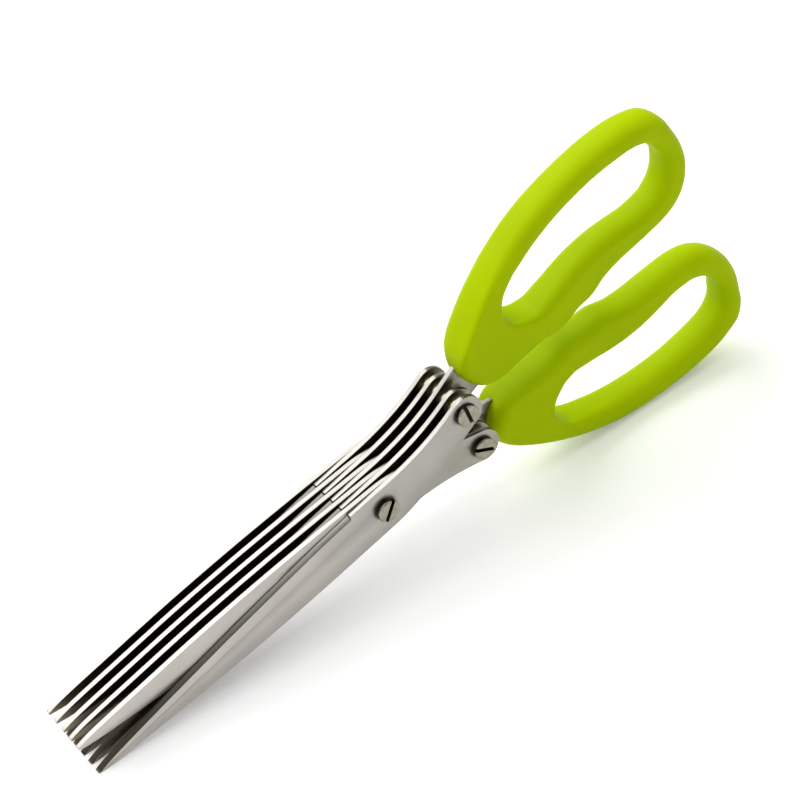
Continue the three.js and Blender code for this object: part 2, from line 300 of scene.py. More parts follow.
# The polished outer faces and edges, the inner faces and the ground cutting edges. Each has its
# colours at places along the blade, in mm from the pivot, how rough it is from and to, how its
# grain is drawn out along X, Y and Z, and how far its mottling darkens it. The colours along the
# blade are painted reflection and shade: the polished faces are painted lighter towards the tip
# and darker by the shank, the ground faces are painted dark towards the tip, and the inner faces
# are painted near black as painted shade between the blades, lighter again at the far end
steelFinishes = {
    "Polished": {
        "paintedTones": [(-85, (0.54, 0.51, 0.47)), (-50, (0.515, 0.49, 0.45)),
                  (-22, (0.505, 0.48, 0.445)), (-4, (0.43, 0.415, 0.38)),
                  (35, (0.39, 0.375, 0.34))],
        "rough": (0.34, 0.44),
        "drawn": (0.06, 1, 1),
        "mottle": 0.9,
    },
    "Inner": {
        "paintedTones": [(-85, (0.2, 0.17, 0.125)), (-74, (0.12, 0.1, 0.075)),
                  (-60, (0.08, 0.068, 0.05)), (28, (0.1, 0.085, 0.06)),
                  (30, (0.3, 0.285, 0.25))],
        "rough": (0.28, 0.4),
        "drawn": (0.06, 1, 1),
        "mottle": 0.9,
    },
    "Ground": {
        "paintedTones": [(-85, (0.09, 0.07, 0.05)), (-70, (0.09, 0.08, 0.062)),
                  (-50, (0.16, 0.152, 0.13)), (-25, (0.3, 0.29, 0.26)),
                  (-8, (0.36, 0.35, 0.32))],
        "rough": (0.28, 0.38),
        "drawn": (0.4, 20, 20),
        "mottle": 0.85,
    },
}
inner, ground = 1, 2  # their numbers on a blade, where the polished one is 0
steelLook = {
    "span": (-86, 38),  # the stretch that the colours are counted over, in mm
    "grain": (900, 2),  # scale and detail
    "cloud": (90, 3),
    "bump": (0.00001, 0.35),  # height and strength
}


# Stamped stainless steel with a fine grain across the blade; its colours along the blade are
# painted reflection and shade
def makeBladeSteel(half, finish):
    look = steelFinishes[finish]
    material, skin = newMaterial(half + "BladeSteel" + finish, 1)
    nodes, links = material.node_tree.nodes, material.node_tree.links
    place = (pivotPlace.x, middleY, pivotPlace.z)
    turn = (0, -halfTurns[half], 0)
    space = objectSpace(material, place, turn)
    grain = noiseOn(material, objectSpace(material, place, turn, look["drawn"]),
                    *steelLook["grain"])
    cloud = grain if finish == "Ground" else noiseOn(material, space, *steelLook["cloud"])
    split = nodes.new("ShaderNodeSeparateXYZ")
    links.new(space, split.inputs["Vector"])
    low, high = steelLook["span"]
    along = rangeOf(material, split.outputs["X"], 0, 1, low * mm, high * mm)
    stops = [((x - low) / (high - low), colour) for x, colour in look["paintedTones"]]
    shade = nodes.new("ShaderNodeMix")
    shade.data_type = "RGBA"
    shade.blend_type = "MULTIPLY"
    shade.inputs["Factor"].default_value = 1
    links.new(rampOf(material, along, stops), shade.inputs["A"])
    links.new(shadesOf(material, cloud, 3 * (look["mottle"],), (1, 1, 1)), shade.inputs["B"])
    links.new(shade.outputs["Result"], skin.inputs["Base Color"])
    links.new(rangeOf(material, grain, *look["rough"]), skin.inputs["Roughness"])
    bumpOn(material, skin, grain, *steelLook["bump"])
    return material


screwLook = {
    "dark": (0.27, 0.25, 0.19),
    "light": (0.4, 0.375, 0.3),
    "rough": (0.22, 0.36),
    "cloud": (500, 3),
    "ringWidth": 0.22 * mm,
    "ringRate": 20,  # how much finer Blender draws its rings than their scale says
    "ringWander": 0.6,
    "ringDetail": 2,
    "bump": (0.000004, 0.5),
}


# Nickel with turning marks round the screw's axis
def makeScrewNickel(name, centre):
    material, skin = newMaterial(name + "Nickel", 1)
    links = material.node_tree.links
    space = objectSpace(material, (centre.x, 0, centre.z))
    rings = material.node_tree.nodes.new("ShaderNodeTexWave")
    rings.wave_type = "RINGS"
    rings.rings_direction = "Y"
    rings.inputs["Scale"].default_value = 1 / screwLook["ringWidth"] / screwLook["ringRate"]
    rings.inputs["Distortion"].default_value = screwLook["ringWander"]
    rings.inputs["Detail"].default_value = screwLook["ringDetail"]
    links.new(space, rings.inputs["Vector"])
    cloud = noiseOn(material, space, *screwLook["cloud"])
    links.new(shadesOf(material, cloud, screwLook["dark"], screwLook["light"]),
              skin.inputs["Base Color"])
    links.new(rangeOf(material, cloud, *screwLook["rough"]), skin.inputs["Roughness"])
    bumpOn(material, skin, rings.outputs["Fac"], *screwLook["bump"])
    return material


# near-black colours for the slot and the side of the head: painted shade and painted reflection
slotLook = {
    "dark": (0.018, 0.016, 0.012),
    "light": (0.045, 0.04, 0.032),
    "rough": (0.4, 0.55),
    "cloud": (1500, 3),
}


# The milled slot and the side of the head, painted near black: painted shade in the slot and a
# painted dark reflection on the side of the head
def makeSlotPaintedShade():
    material, skin = newMaterial("slotPaintedShade", 1)
    links = material.node_tree.links
    cloud = noiseOn(material, objectSpace(material), *slotLook["cloud"])
    links.new(shadesOf(material, cloud, slotLook["dark"], slotLook["light"]),
              skin.inputs["Base Color"])
    links.new(rangeOf(material, cloud, *slotLook["rough"]), skin.inputs["Roughness"])
    return material


brassLook = {
    "dark": (0.6, 0.51, 0.34),
    "light": (0.85, 0.77, 0.57),
    "rough": (0.24, 0.34),
    "cloud": (400, 3),
    "lines": (500, 2),
    "linesDrawn": (1, 0.05, 1),
    "bump": (0.00001, 0.3),
}


# Brass-coloured tube with turned lines round it
def makeSpacerBrass():
    material, skin = newMaterial("spacerBrass", 1)
    links = material.node_tree.links
    cloud = noiseOn(material, objectSpace(material), *brassLook["cloud"])
    lines = noiseOn(material, objectSpace(material, scale=brassLook["linesDrawn"]),
                    *brassLook["lines"])
    links.new(shadesOf(material, cloud, brassLook["dark"], brassLook["light"]),
              skin.inputs["Base Color"])
    links.new(rangeOf(material, cloud, *brassLook["rough"]), skin.inputs["Roughness"])
    bumpOn(material, skin, lines, *brassLook["bump"])
    return material


plasticLook = {
    "dark": (0.43, 0.59, 0.0),
    "light": (0.48, 0.645, 0.0),
    "rough": (0.4, 0.5),
    "gloss": 0.03,
    "cloud": (45, 3),
    "grain": (2600, 2),
    "bump": (0.00001, 0.4),
}


# Moulded plastic with a faint satin grain
def makeHandlePlastic():
    material, skin = newMaterial("handleLimePlastic")
    links = material.node_tree.links
    cloud = noiseOn(material, objectSpace(material), *plasticLook["cloud"])
    grain = noiseOn(material, objectSpace(material), *plasticLook["grain"])
    links.new(shadesOf(material, cloud, plasticLook["dark"], plasticLook["light"]),
              skin.inputs["Base Color"])
    links.new(rangeOf(material, grain, *plasticLook["rough"]), skin.inputs["Roughness"])
    bumpOn(material, skin, grain, *plasticLook["bump"])
    skin.inputs["Specular IOR Level"].default_value = plasticLook["gloss"]
    return material


bladeSteels = {half: [makeBladeSteel(half, finish) for finish in steelFinishes]
               for half in ("upper", "lower")}
spacerBrass = makeSpacerBrass()
slotPaintedShade = makeSlotPaintedShade()
handlePlastic = makeHandlePlastic()
print("materials made")

# Blades: drawn closed with the pivot at the origin, near face towards -Y
blade = {
    "reach": 85.3 * mm,
    "spineDepth": 5.8 * mm,
    "edgeHeight": 5.55 * mm,
    "tipWidth": 0.55 * mm,
    "grind": 0.7 * mm,  # how far the cutting edge is ground back on the near side
    "notchDistance": 7.85 * mm,  # from the pivot to the step at the end of the cutting edge
    "notchWidth": 0.25 * mm,
    "ricassoHeight": 5.9 * mm,  # the blade's height between that step and the pivot
    "pivotRicasso": 5.7 * mm,
    "shankEndShift": 0.4 * mm,
    "shankEndRadius": 4.1 * mm,
    "shankEndStart": math.radians(-72),
    "tangNeck": 32.2 * mm,
    "tangReach": 44.0 * mm,
    "neckLow": 1.7 * mm,
    "neckHigh": 11.4 * mm,
    "shoulderReach": 36.2 * mm,
    "shoulderLow": 2.6 * mm,
    "tangEndMiddle": 11.2 * mm,
    "tangEndRadius": 3.0 * mm,
    "tangHoleRadius": 1.5 * mm,
    "tangHoleShares": (0.35, 0.78),
    "edgeSoftness": 0.07 * mm,
    "softSegments": 2,
    "softAngle": 25,
    "lineSteps": 36,
    "shankSteps": 20,
    "shankEndSteps": 24,
    "tangEndSteps": 16,
    "punchDepths": (-3 * mm, 1 * mm),
    "punchSides": 48,
    "groundTilt": (-0.8, -0.2),  # how far the ground faces look along Y
    "endTilt": 0.2,  # how far the round end's faces look along X at least
    "flatOn": 0.99,  # and the flat faces along Y
    "hair": 1e-6,  # nearer than this is the same place
    "spotDigits": 7,
}
# shares of the reach and the depth along the spine and the edge, and of the way along the shank
spineShares = [(0.94, 0.27), (0.765, 0.515), (0.59, 0.735), (0.41, 0.885), (0.24, 0.96)]
edgeShares = [(0.938, 0.18), (0.762, 0.433), (0.526, 0.711), (0.291, 0.914), (0.173, 0.985)]
shankUpperShares = [(0.46, -0.14), (0.75, 0.34)]
shankLowerShares = [(0.33, 0), (0.68, 0.61)]


def onShankEnd(turn):
    return Vector((
        layout["shankReach"] + blade["shankEndShift"] + blade["shankEndRadius"] * math.cos(turn),
        layout["shankRise"] + blade["shankEndRadius"] * math.sin(turn)))


def tangOutline():
    points = [Vector((blade["tangNeck"], blade["neckLow"])),
              Vector((blade["shoulderReach"], blade["shoulderLow"]))]
    radius = blade["tangEndRadius"]
    for i in range(blade["tangEndSteps"] + 1):
        turn = math.pi * (i / blade["tangEndSteps"]) - math.pi / 2
        points.append(Vector((blade["tangReach"] - radius + radius * math.cos(turn),
                              blade["tangEndMiddle"] + radius * math.sin(turn))))
    points.append(Vector((blade["tangNeck"], blade["neckHigh"])))
    return points


# The outline from the tip along the spine, and the part of it that is ground
def bladeOutline(hasTang):
    spine = [Vector((-blade["reach"], -blade["tipWidth"]))]
    spine += [Vector((-blade["reach"] * a, -blade["spineDepth"] * b)) for a, b in spineShares]
    spine.append(Vector((0, -blade["spineDepth"])))
    edge = [Vector((-blade["reach"], 0))]
    edge += [Vector((-blade["reach"] * a, blade["edgeHeight"] * b)) for a, b in edgeShares]
    edge.append(Vector((-blade["notchDistance"], blade["edgeHeight"])))
    edge.reverse()
    lowStart = spine[-1]
    highStart = Vector((0, blade["pivotRicasso"]))
    low = onShankEnd(blade["shankEndStart"])
    high = onShankEnd(blade["shankEndStart"] + math.pi)
    steps = blade["shankSteps"]
    lower = bezierLine(lowStart, between(lowStart, low, shankLowerShares[0]),
                       between(lowStart, low, shankLowerShares[1]), low, steps)
    upper = bezierLine(highStart, between(highStart, high, shankUpperShares[0]),
                       between(highStart, high, shankUpperShares[1]), high, steps)
    if hasTang:
        end = tangOutline()
    else:
        steps = blade["shankEndSteps"]
        end = [onShankEnd(blade["shankEndStart"] + math.pi * i / steps) for i in range(1, steps)]
    back = smoothLine(spine, blade["lineSteps"]) + lower[1:] + end + upper[::-1]
    back.append(Vector((blade["notchWidth"] - blade["notchDistance"], blade["ricassoHeight"])))
    return back, smoothLine(edge, blade["lineSteps"])


# A spot on the drawing, rounded so that equal ones can be told
def spotOf(x, z):
    return round(x, blade["spotDigits"]), round(z, blade["spotDigits"])


def makeBlade(name, hasTang):
    back, cuttingEdge = bladeOutline(hasTang)
    outline = back + cuttingEdge
    nothingPicked()
    bpy.ops.mesh.primitive_circle_add(
        vertices=len(outline), radius=blade["reach"] / 2, fill_type="NGON",
        location=(-blade["reach"] / 3, -layout["bladeGap"] / 2, 0), rotation=(math.pi / 2, 0, 0))
    piece = startPiece(name)
    # the disc's rim is laid along the blade's outline
    for vertex, point in zip(piece.data.vertices, outline):
        vertex.co = (point.x, -layout["bladeGap"] / 2, point.y)
    pickFaces(piece, lambda centre, normal: True)
    bpy.ops.mesh.extrude_region_move(
        TRANSFORM_OT_translate={"value": (0, -layout["bladeThickness"], 0)})
    backToObject()
    # the cutting edge is ground down on the near side
    nearY = -layout["bladeGap"] / 2 - layout["bladeThickness"]
    edgeSpots = {spotOf(point.x, point.y) for point in cuttingEdge}
    for vertex in piece.data.vertices:
        x, y, z = vertex.co
        if abs(y - nearY) < blade["hair"] and spotOf(x, z) in edgeSpots:
            atTip = x < -blade["reach"] + blade["hair"]
            vertex.co.z -= blade["tipWidth"] / 2 if atTip else blade["grind"]
    takeUp(piece)
    pickFaces(piece, lambda centre, normal: True)
    bpy.ops.mesh.normals_make_consistent(inside=False)
    backToObject()
    addFinishes(piece, bladeSteels["upper"])
    # the ground faces take the ground finish, painted darker towards the tip; the faces looking
    # towards the tip and, on plain blades, the round end of the shank take the near-black inner
    # finish, a painted dark reflection
    low, high = blade["groundTilt"]
    dressFaces(piece, ground, lambda centre, normal: low < normal.y < high)
    dressFaces(piece, inner, lambda centre, normal: normal.x < -squareOn)
    if not hasTang:
        dressFaces(piece, inner, lambda centre, normal: normal.x > blade["endTilt"])
    holes = [(0, 0, layout["holeRadius"]),
             (layout["shankReach"], layout["shankRise"], layout["holeRadius"])]
    if hasTang:
        neckX, endX = blade["tangNeck"], blade["tangReach"] - blade["tangEndRadius"]
        neckZ, endZ = (blade["neckLow"] + blade["neckHigh"]) / 2, blade["tangEndMiddle"]
        for share in blade["tangHoleShares"]:
            holes.append((neckX + (endX - neckX) * share, neckZ + (endZ - neckZ) * share,
                          blade["tangHoleRadius"]))
    for x, z, radius in holes:
        punch = addRound("punch", radius, *blade["punchDepths"], x, z, blade["punchSides"])
        cutWith(piece, punch)
    softenEdges(piece, blade["edgeSoftness"], blade["softSegments"], blade["softAngle"])
    smoothShade(piece, blade["softAngle"])
    return piece


plainBlade = makeBlade("plainBlade", False)
tangBlade = makeBlade("tangBlade", True)
middlePair = (layout["pairs"] + 1) // 2
for half in ("upper", "lower"):
    side = 1 if half == "upper" else -1
    for number in range(1, layout["pairs"] + 1):
        model = tangBlade if number == middlePair else plainBlade
        place = halfPlaces[half] @ Matrix.Translation((0, side * pairOffset(number), 0))
        node = f"{half}_blade_{number}"
        piece = copyPiece(model, f"{half}_steel_blade_{number}", place)
        # only the outermost flat faces of the stack are polished; the flat faces between the
        # blades take the near-black inner finish, painted shade
        if number < layout["pairs"]:
            dressFaces(piece, inner, lambda centre, normal: normal.y < -blade["flatOn"])
        if number > 1:
            dressFaces(piece, inner, lambda centre, normal: normal.y > blade["flatOn"])
        finishPiece(piece, node, half + "_half", bladeSteels[half])
for model in (plainBlade, tangBlade):
    bpy.data.objects.remove(model, do_unlink=True)
print("blades made")

# Screws and nuts
def halfOf(name):
    return "upper" if name == "upper_shank" else "lower"


screw = {
    "shaftRadius": 1.5 * mm,
    "headRadius": 2.77 * mm,
    "headHeight": 1.45 * mm,
    "headRounding": 0.4 * mm,
    "roundingSegments": 4,
    "slotWidth": 0.95 * mm,
    "slotDepth": 0.95 * mm,
    "endChamfer": 0.2 * mm,
    "edgeSoftness": 0.05 * mm,
    "softSegments": 2,
    "softAngle": 30,
}
# how far each slot is turned from the length of its own half, in degrees
slotAngles = {"pivot": 46.2, "upper_shank": 85, "lower_shank": -34.5}


def makeScrew(name, material):
    low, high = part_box(name + "_screw")
    centre = middleOf(name + "_screw")
    bearing = low.y + screw["headHeight"]
    piece = addRound(name + "_slotted_screw", screw["headRadius"], low.y, bearing,
                     centre.x, centre.z)
    pickFaces(piece, lambda c, n: n.y < -squareOn)
    bpy.ops.mesh.bevel(offset=screw["headRounding"], segments=screw["roundingSegments"],
                       affect="EDGES")
    pickFaces(piece, lambda c, n: n.y > squareOn)
    bpy.ops.mesh.inset(thickness=screw["headRadius"] - screw["shaftRadius"])
    bpy.ops.mesh.extrude_region_move(
        TRANSFORM_OT_translate={"value": (0, high.y - bearing, 0)})
    bpy.ops.mesh.bevel(offset=screw["endChamfer"], segments=1, affect="EDGES")
    backToObject()
    # the side of the head and, by way of the cutter, the slot take the second finish: painted
    # shade in the slot, a painted dark reflection on the side
    turn = math.radians(slotAngles[name]) + halfTurns[halfOf(name)]
    nothingPicked()
    bpy.ops.mesh.primitive_cube_add(
        size=1, location=(centre.x, low.y, centre.z), rotation=(0, -turn, 0),
        scale=(4 * screw["headRadius"], 2 * screw["slotDepth"], screw["slotWidth"]))
    slotCutter = startPiece("slotCutter")
    addFinishes(slotCutter, [slotPaintedShade, slotPaintedShade])
    dressFaces(slotCutter, 1, lambda c, n: True)
    addFinishes(piece, [material, slotPaintedShade])
    dressFaces(piece, 1, lambda c, n: abs(n.y) < sideOn and c.y < bearing)
    cutWith(piece, slotCutter)
    softenEdges(piece, screw["edgeSoftness"], screw["softSegments"], screw["softAngle"])
    smoothShade(piece, screw["softAngle"])
    finishPiece(piece, name + "_screw", halfOf(name) + "_half",
                [material, slotPaintedShade])


nut = {
    "sides": 6,
    "width": 5.5 * mm,
    "chamfer": 0.25 * mm,
    "chamferAngle": math.radians(30),
    "boreRadius": 1.65 * mm,
    "boreSides": 48,
    "edgeSoftness": 0.05 * mm,
    "softSegments": 2,
    "softAngle": 30,
}


def makeNut(name, material):
    low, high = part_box(name + "_nut")
    centre = middleOf(name + "_nut")
    nothingPicked()
    bpy.ops.mesh.primitive_cylinder_add(
        vertices=nut["sides"], radius=nut["width"] / math.sqrt(3), depth=high.y - low.y,
        location=(centre.x, centre.y, centre.z), rotation=(math.pi / 2, 0, 0))
    piece = startPiece(name + "_hexagon_nut")
    takeUp(piece)
    turned = Matrix.Rotation(-halfTurns[halfOf(name)], 4, "Y")
    piece.data.transform(Matrix.Translation(centre) @ turned @ Matrix.Translation(-centre))
    # a barrel with two cones for ends takes off the corners
    rim = nut["width"] / 2
    belt = rim + nut["chamfer"] / math.tan(nut["chamferAngle"])
    barrel = addRound("barrel", belt, low.y + nut["chamfer"], high.y - nut["chamfer"],
                      centre.x, centre.z)
    for side in (-1, 1):
        pickFaces(barrel, lambda c, n: n.y * side > squareOn)
        bpy.ops.mesh.extrude_region_move(
            TRANSFORM_OT_translate={"value": (0, side * nut["chamfer"], 0)})
        bpy.ops.transform.resize(value=(rim / belt, 1, rim / belt),
                                 center_override=(centre.x, centre.y, centre.z))
    backToObject()
    cutWith(piece, barrel, "INTERSECT")
    bore = addRound("bore", nut["boreRadius"], low.y - mm, high.y + mm, centre.x, centre.z,
                    nut["boreSides"])
    cutWith(piece, bore)
    addFinishes(piece, [material])
    softenEdges(piece, nut["edgeSoftness"], nut["softSegments"], nut["softAngle"])
    smoothShade(piece, nut["softAngle"])
    finishPiece(piece, name + "_nut", halfOf(name) + "_half", [material])


for name in ("pivot", "upper_shank", "lower_shank"):
    nickel = makeScrewNickel(name, middleOf(name + "_screw"))
    makeScrew(name, nickel)
    makeNut(name, nickel)
print("screws and nuts made")

# Spacers on the shank screws and washers on the pivot
ring = {
    "spacerRadius": 2.9 * mm,
    "washerRadius": 3.3 * mm,
    "boreRadius": 1.65 * mm,
    "spacerSoftness": 0.18 * mm,
    "washerSoftness": 0.08 * mm,
    "sides": 64,
    "softSegments": 3,
    "softAngle": 40,
    "shadeAngle": 30,
}


# A tube on a screw: a disc whose faces are inset to the bore and bridged through
def makeRing(name, node, radius, softness, body, material):
    low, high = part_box(node)
    centre = middleOf(node)
    piece = addRound(name, radius, low.y, high.y, centre.x, centre.z, ring["sides"])
    pickFaces(piece, lambda c, n: abs(n.y) > squareOn)
    bpy.ops.mesh.inset(thickness=radius - ring["boreRadius"])
    bpy.ops.mesh.bridge_edge_loops()
    bpy.ops.mesh.select_all(action="SELECT")
    bpy.ops.mesh.normals_make_consistent(inside=False)
    backToObject()
    addFinishes(piece, [material])
    softenEdges(piece, softness, ring["softSegments"], ring["softAngle"])
    smoothShade(piece, ring["shadeAngle"])
    finishPiece(piece, node, body, [material])


for i in range(1, layout["pairs"]):
    for half in ("upper", "lower"):
        makeRing(f"{half}_brass_spacer_{i}", f"{half}_spacer_{i}", ring["spacerRadius"],
                 ring["spacerSoftness"], half + "_half", spacerBrass)
    # the washers between the blades take the near-black inner steel, painted shade
    makeRing(f"pivot_steel_washer_{i}", f"pivot_washer_{i}", ring["washerRadius"],
             ring["washerSoftness"], "lower_half", bladeSteels["lower"][inner])
print("spacers and washers made")

# Finger loops, drawn closed like the blades
loop = {
    "start": 33.0 * mm,
    "length": 70.9 * mm,
    "halfThickness": 5.3 * mm,
    "thinShare": 0.89,  # how thick the far end is against the front
    "thinStart": 0.14,  # it thins between these shares of the length
    "thinEnd": 0.7,
    "tangFit": 0.03 * mm,  # play round the tang
    "stationSteps": 5,
    "cornerSteps": 6,
    "faceSteps": 4,
    "deepestCorner": 0.98,  # as a share of half the thickness
    "widestCorners": 0.96,  # both together, as a share of the width
    "shadeAngle": 40,
}
# rows round the loop, in mm: outer x, outer z, hole x, hole z
loopStations = [
    (54.41, 28.55, 55.05, 23.25), (59.11, 30.45, 59.76, 24.91), (63.90, 31.90, 64.57, 26.04),
    (68.70, 32.85, 69.39, 26.76), (73.60, 33.48, 74.30, 27.20), (78.40, 33.85, 79.21, 27.42),
    (83.30, 33.93, 84.11, 27.28), (88.30, 33.62, 89.11, 26.74), (92.58, 33.00, 91.41, 26.33),
    (96.62, 31.72, 93.64, 25.69), (100.50, 29.71, 95.70, 24.50), (102.83, 26.12, 97.14, 22.75),
    (103.67, 21.99, 97.86, 20.41), (104.10, 18.00, 98.40, 18.10), (103.70, 13.90, 97.82, 15.86),
    (102.22, 10.06, 96.78, 13.78), (99.54, 6.65, 95.21, 12.01), (95.92, 4.27, 93.24, 10.76),
    (91.69, 3.14, 90.97, 10.07), (86.76, 2.85, 86.07, 9.97), (81.95, 2.80, 80.95, 10.89),
    (77.01, 2.82, 76.05, 11.52), (72.15, 2.29, 71.05, 11.48), (67.38, 0.78, 66.26, 10.90),
    (62.48, 0.88, 61.47, 9.87), (57.90, 0.38, 56.61, 8.93), (55.20, 0.55, 54.93, 8.73),
    (52.60, 1.60, 53.18, 8.95), (46.50, 1.90, 51.41, 9.58), (36.40, 2.70, 49.51, 10.69),
    (32.05, 8.40, 47.83, 12.45), (32.75, 13.30, 47.10, 14.84), (36.90, 17.30, 47.47, 17.41),
    (41.60, 21.05, 48.63, 19.64), (46.00, 24.12, 50.45, 21.44), (50.30, 26.70, 52.69, 22.44),
]
# rounding of the long edges at some stations, in mm: the station, then for the near side and for
# the far side how far it goes across and deep at the outer edge, and the same at the hole
loopRounding = [
    (0, 2.3, 3.0, 2.2, 2.8, 2.5, 3.6, 2.2, 2.8), (4, 2.7, 4.0, 2.7, 4.0, 2.4, 3.5, 2.7, 4.0),
    (9, 2.7, 4.2, 2.7, 4.0, 2.6, 3.9, 2.7, 4.0), (15, 2.7, 4.2, 2.6, 4.0, 3.8, 4.6, 2.6, 4.0),
    (20, 2.8, 4.2, 2.7, 4.0, 2.8, 4.2, 2.7, 4.0), (23.5, 2.6, 3.7, 2.5, 3.4, 2.6, 3.7, 2.5, 3.4),
    (24.6, 1.7, 2.1, 2.2, 2.9, 2.6, 3.6, 2.4, 3.0), (27, 1.6, 2.0, 1.6, 2.0, 2.5, 3.4, 1.8, 2.2),
    (29, 1.5, 2.0, 1.3, 1.5, 2.6, 3.4, 1.3, 1.5), (30.5, 1.4, 1.6, 1.1, 1.2, 5.0, 5.2, 1.1, 1.2),
    (32, 1.3, 1.5, 1.1, 1.2, 2.8, 3.8, 1.1, 1.2),
    (34, 1.5, 1.8, 1.3, 1.5, 2.6, 3.6, 1.4, 1.6), (36, 2.3, 3.0, 2.2, 2.8, 2.5, 3.6, 2.2, 2.8),
]


def smoothShare(value, low, high):
    t = min(max((value - low) / (high - low), 0), 1)
    return t * t * (3 - 2 * t)


def stationAt(position):
    count = len(loopStations)
    k = int(position)
    rows = [Vector(loopStations[(k + shift) % count]) for shift in (-1, 0, 1, 2)]
    return curveAt(*rows, position - k) * mm


def roundingAt(position):
    for first, second in zip(loopRounding, loopRounding[1:]):
        if first[0] <= position <= second[0]:
            t = smoothShare(position, first[0], second[0])
            return [(a + (b - a) * t) * mm for a, b in zip(first[1:], second[1:])]
    return [a * mm for a in loopRounding[-1][1:]]


# One side of a cross-section, from the outer edge to the hole: pairs of inwards and deep
def sideSection(width, half, rounding):
    outerAcross, outerDeep, holeAcross, holeDeep = rounding
    outerDeep = min(outerDeep, half * loop["deepestCorner"])
    holeDeep = min(holeDeep, half * loop["deepestCorner"])
    crowd = min(1, loop["widestCorners"] * width / (outerAcross + holeAcross))
    outerAcross *= crowd
    holeAcross *= crowd
    steps = loop["cornerSteps"]
    turns = [math.pi / 2 * i / steps for i in range(steps + 1)]
    side = [(outerAcross * (1 - math.cos(t)), half - outerDeep * (1 - math.sin(t))) for t in turns]
    left, right = outerAcross, width - holeAcross
    for i in range(1, loop["faceSteps"]):
        side.append((left + (right - left) * i / loop["faceSteps"], half))
    side += [(width - holeAcross * (1 - math.cos(t)), half - holeDeep * (1 - math.sin(t)))
             for t in reversed(turns)]
    return side


# A whole cross-section: the near side is at negative depths
def loopSection(width, half, rounding):
    near = [(across, -deep) for across, deep in sideSection(width, half, rounding[:4])]
    far = sideSection(width, half, rounding[4:])
    return [(0, 0)] + near + [(width, 0)] + far[::-1]


def makeLoop():
    stations = len(loopStations) * loop["stationSteps"]
    sections = len(loopSection(loop["length"], loop["halfThickness"], roundingAt(0)))
    nothingPicked()
    bpy.ops.mesh.primitive_torus_add(
        major_segments=stations, minor_segments=sections,
        major_radius=loop["length"] / 3, minor_radius=loop["halfThickness"],
        location=(loop["start"] + loop["length"] / 2, 0, loop["length"] / 4),
        rotation=(math.pi / 2, 0, 0))
    piece = startPiece("fingerLoop")
    # each ring of the torus is laid on its station round the loop
    for i in range(stations):
        position = i / loop["stationSteps"]
        outerX, outerZ, innerX, innerZ = stationAt(position)
        inwards = Vector((innerX - outerX, innerZ - outerZ))
        width = inwards.length
        inwards.normalize()
        thin = smoothShare(((outerX + innerX) / 2 - loop["start"]) / loop["length"],
                           loop["thinStart"], loop["thinEnd"])
        half = loop["halfThickness"] * (1 + (loop["thinShare"] - 1) * thin)
        for j, (across, deep) in enumerate(loopSection(width, half, roundingAt(position))):
            spot = piece.data.vertices[i * sections + j]
            spot.co = (outerX + inwards.x * across, deep, outerZ + inwards.y * across)
    takeUp(piece)
    pickFaces(piece, lambda centre, normal: True)
    bpy.ops.mesh.normals_make_consistent(inside=False)
    backToObject()
    return piece


# The room for the tang, cut into the front of the loop
def makeTangPocket():
    neck = [onShankEnd(blade["shankEndStart"] + math.pi), onShankEnd(blade["shankEndStart"])]
    outline = tangOutline() + neck
    middle = Vector((blade["tangNeck"], (blade["neckLow"] + blade["neckHigh"]) / 2))
    fit = loop["tangFit"]
    nothingPicked()
    bpy.ops.mesh.primitive_circle_add(
        vertices=len(outline), radius=blade["tangEndRadius"], fill_type="NGON",
        location=(middle.x, 0, middle.y), rotation=(math.pi / 2, 0, 0))
    pocket = startPiece("tangPocket")
    # the rim goes along the tang's outline, a little outside it
    innerY = -layout["bladeGap"] / 2 + fit
    for vertex, point in zip(pocket.data.vertices, outline):
        out = (point - middle).normalized() * fit * math.sqrt(2)
        vertex.co = (point.x + out.x, innerY, point.y + out.y)
    pickFaces(pocket, lambda centre, normal: True)
    bpy.ops.mesh.extrude_region_move(
        TRANSFORM_OT_translate={"value": (0, -layout["bladeThickness"] - 2 * fit, 0)})
    bpy.ops.mesh.select_all(action="SELECT")
    bpy.ops.mesh.normals_make_consistent(inside=False)
    backToObject()
    return pocket


fingerLoop = makeLoop()
addFinishes(fingerLoop, [handlePlastic])
cutWith(fingerLoop, makeTangPocket())
smoothShade(fingerLoop, loop["shadeAngle"])
for half in ("upper", "lower"):
    piece = copyPiece(fingerLoop, half + "_finger_loop", halfPlaces[half])
    finishPiece(piece, half + "_handle", half + "_half", [handlePlastic])
bpy.data.objects.remove(fingerLoop, do_unlink=True)
print("finger loops made")

# Floor, lights and camera
studio = {
    "floorSize": 6.0,
    "floorDrop": 0.02 * mm,
    "floorColour": (0.97, 0.97, 0.97),
    "fleckShade": 0.985,
    "fleck": (30, 2),
    "floorRough": 0.7,
    "floorGloss": 0.1,
    "floorSeen": (0.22, 0.7),  # near the object and far out
    "floorFar": (0.5, 1.3),  # the distances between which it goes from one to the other
    "skyLevels": [(0.0, 0.05), (0.4, 0.06), (0.65, 0.13), (1.0, 0.13)],
    "cardDark": (0.03, 0.025, 0.018),
    "cardLight": (0.045, 0.038, 0.03),
    "cardCloud": (3, 2),
}
